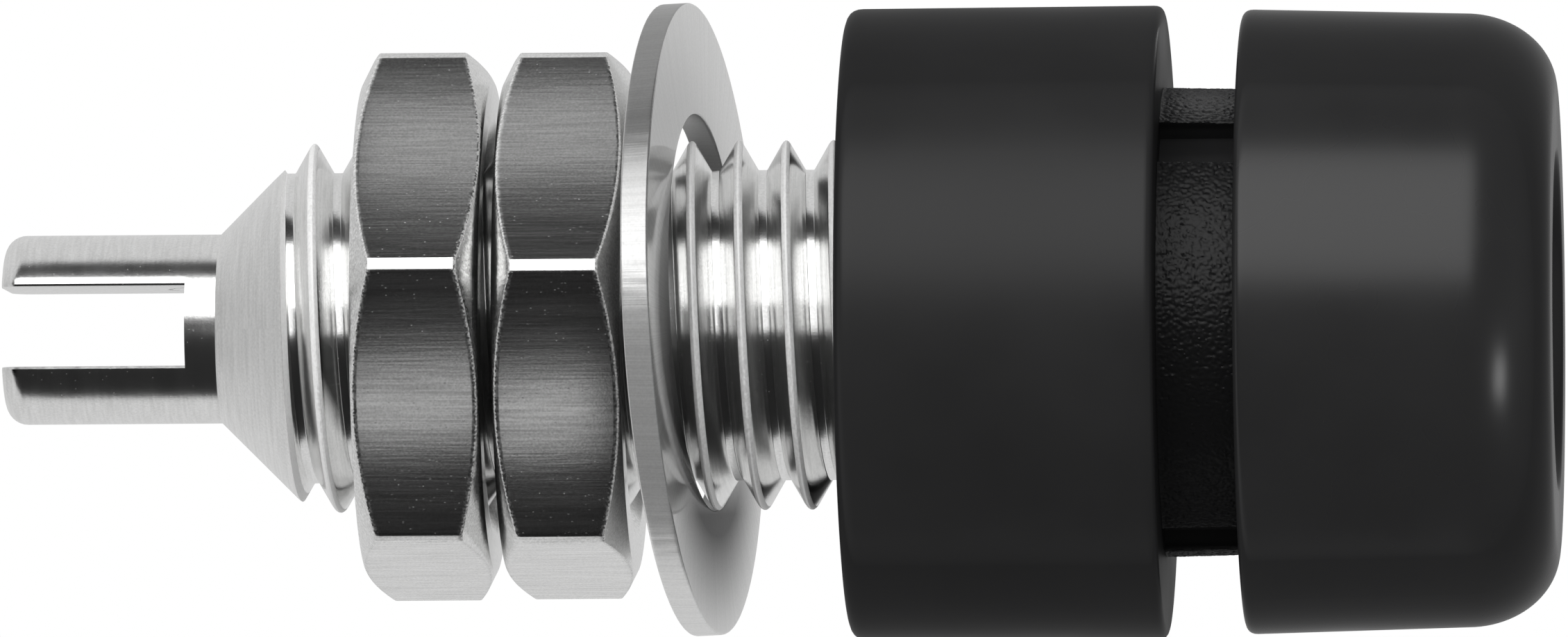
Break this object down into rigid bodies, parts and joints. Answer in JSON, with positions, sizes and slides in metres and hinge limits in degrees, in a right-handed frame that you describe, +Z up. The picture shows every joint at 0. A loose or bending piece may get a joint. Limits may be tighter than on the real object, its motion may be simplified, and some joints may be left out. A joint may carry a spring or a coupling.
{
  "type": "banana socket",
  "caption": "Insulated panel socket for a banana plug: plated contact body with forked solder tail, moulded head, keyed rear bush, flat washer and hexagon nuts.",
  "frame": {"origin": "on the shank's axis in the plane of the head's rear face, where the panel seats", "axes": "+X along the axis from the solder tail to the plug's opening, +Z up, -Y towards the picture's camera"},
  "size_m": [0.0247, 0.01, 0.0101],
  "materials": {
    "plated_contact": "bright nickel plate over turned brass",
    "plated_nut": "nickel plate over drawn brass, brushed along the flats",
    "plated_washer": "nickel plate over punched brass",
    "black_plastic": "moulded black polyamide, satin"
  },
  "bodies": {
    "socket": {"contact_body": "plated_contact", "head": "black_plastic"},
    "rear_bush": {"rear_bush": "black_plastic"},
    "washer": {"washer": "plated_washer"},
    "front_nut": {"front_nut": "plated_nut"},
    "rear_nut": {"rear_nut": "plated_nut"}
  },
  "joints": [
    {"name": "bush_slide", "type": "slide", "parent": "socket", "child": "rear_bush", "axis": [1, 0, 0], "range_m": [0, 0.0012]},
    {"name": "washer_slide", "type": "slide", "parent": "socket", "child": "washer", "axis": [1, 0, 0], "range_m": [0, 0.0015]},
    {"name": "front_nut_turn", "type": "hinge", "parent": "washer", "child": "front_nut", "pos_m": [-0.0107, 0, 0], "axis": [1, 0, 0], "range_deg": [0, 720]},
    {"name": "rear_nut_turn", "type": "hinge", "parent": "socket", "child": "rear_nut", "pos_m": [-0.0129, 0, 0], "axis": [1, 0, 0], "continuous": true}
  ],
  "couplings": [
    {"joint": "front_nut_turn", "follows": "washer_slide", "rad_per_m": 8377.6}
  ]
}
